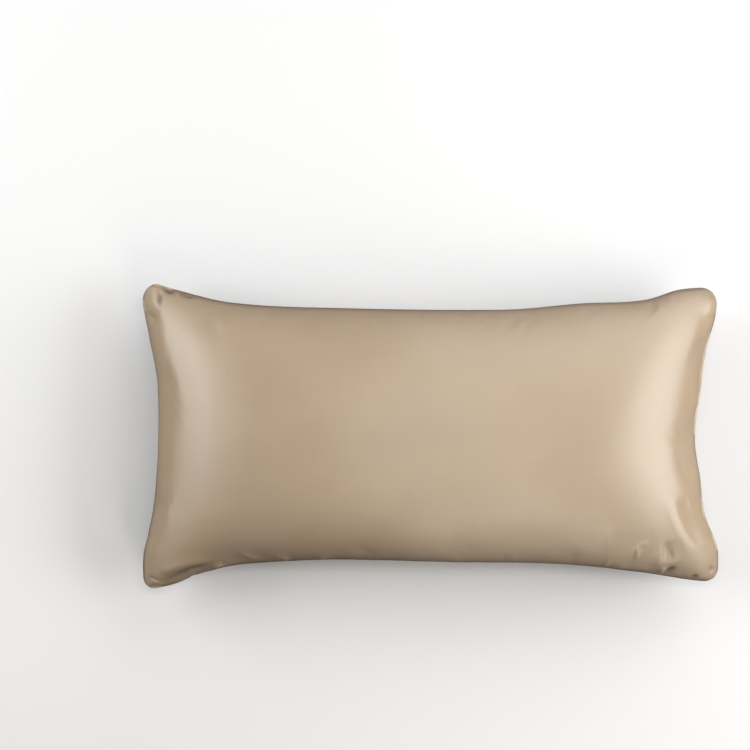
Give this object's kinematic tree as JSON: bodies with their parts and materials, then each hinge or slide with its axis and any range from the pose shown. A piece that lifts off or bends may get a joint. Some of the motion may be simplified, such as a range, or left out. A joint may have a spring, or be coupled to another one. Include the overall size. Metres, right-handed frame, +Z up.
{
  "type": "filled pillowcase",
  "caption": "Long rectangular satin pillowcase plumped by its pillow, with drawn-in sides, soft rounded corner ears and a knife-edge seam all round.",
  "frame": {"origin": "below the middle of the case, on the surface it lies on", "axes": "+X along the long side, +Y towards the upper long seam as seen from the front, +Z up out of the front panel"},
  "size_m": [0.89, 0.4712, 0.2065],
  "materials": {
    "satin": "champagne satin weave with a soft broad gloss"
  },
  "bodies": {
    "root": {"filled_case": "satin"}
  },
  "joints": []
}
